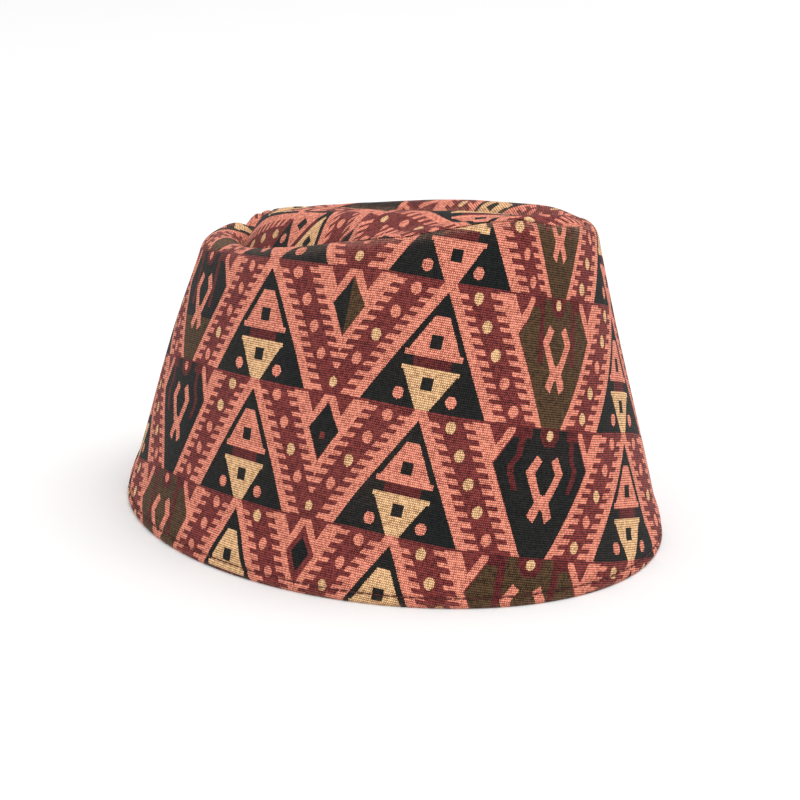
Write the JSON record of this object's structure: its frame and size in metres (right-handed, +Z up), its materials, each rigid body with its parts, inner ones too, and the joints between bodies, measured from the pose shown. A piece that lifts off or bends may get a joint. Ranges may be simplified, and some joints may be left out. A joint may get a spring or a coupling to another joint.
{
  "type": "brimless cloth cap",
  "caption": "Brimless dhaka topi with an oval rim, a sloping side wall, a soft rolled top edge and a puffed top panel, woven with a stepped traditional pattern.",
  "frame": {"origin": "bottom centre of the bounding box, in the middle of the rim on the surface the cap rests on", "axes": "+Z up through the crown; -Y is the front of the cap, where the wall is highest; +X is the wearer's left side"},
  "size_m": [0.16, 0.2062, 0.1163],
  "materials": {
    "woven_cloth_side": "matte woven",
    "woven_cloth_top": "matte woven"
  },
  "bodies": {
    "root": {"side_wall": "woven_cloth_side", "top_panel": "woven_cloth_top"}
  },
  "joints": []
}
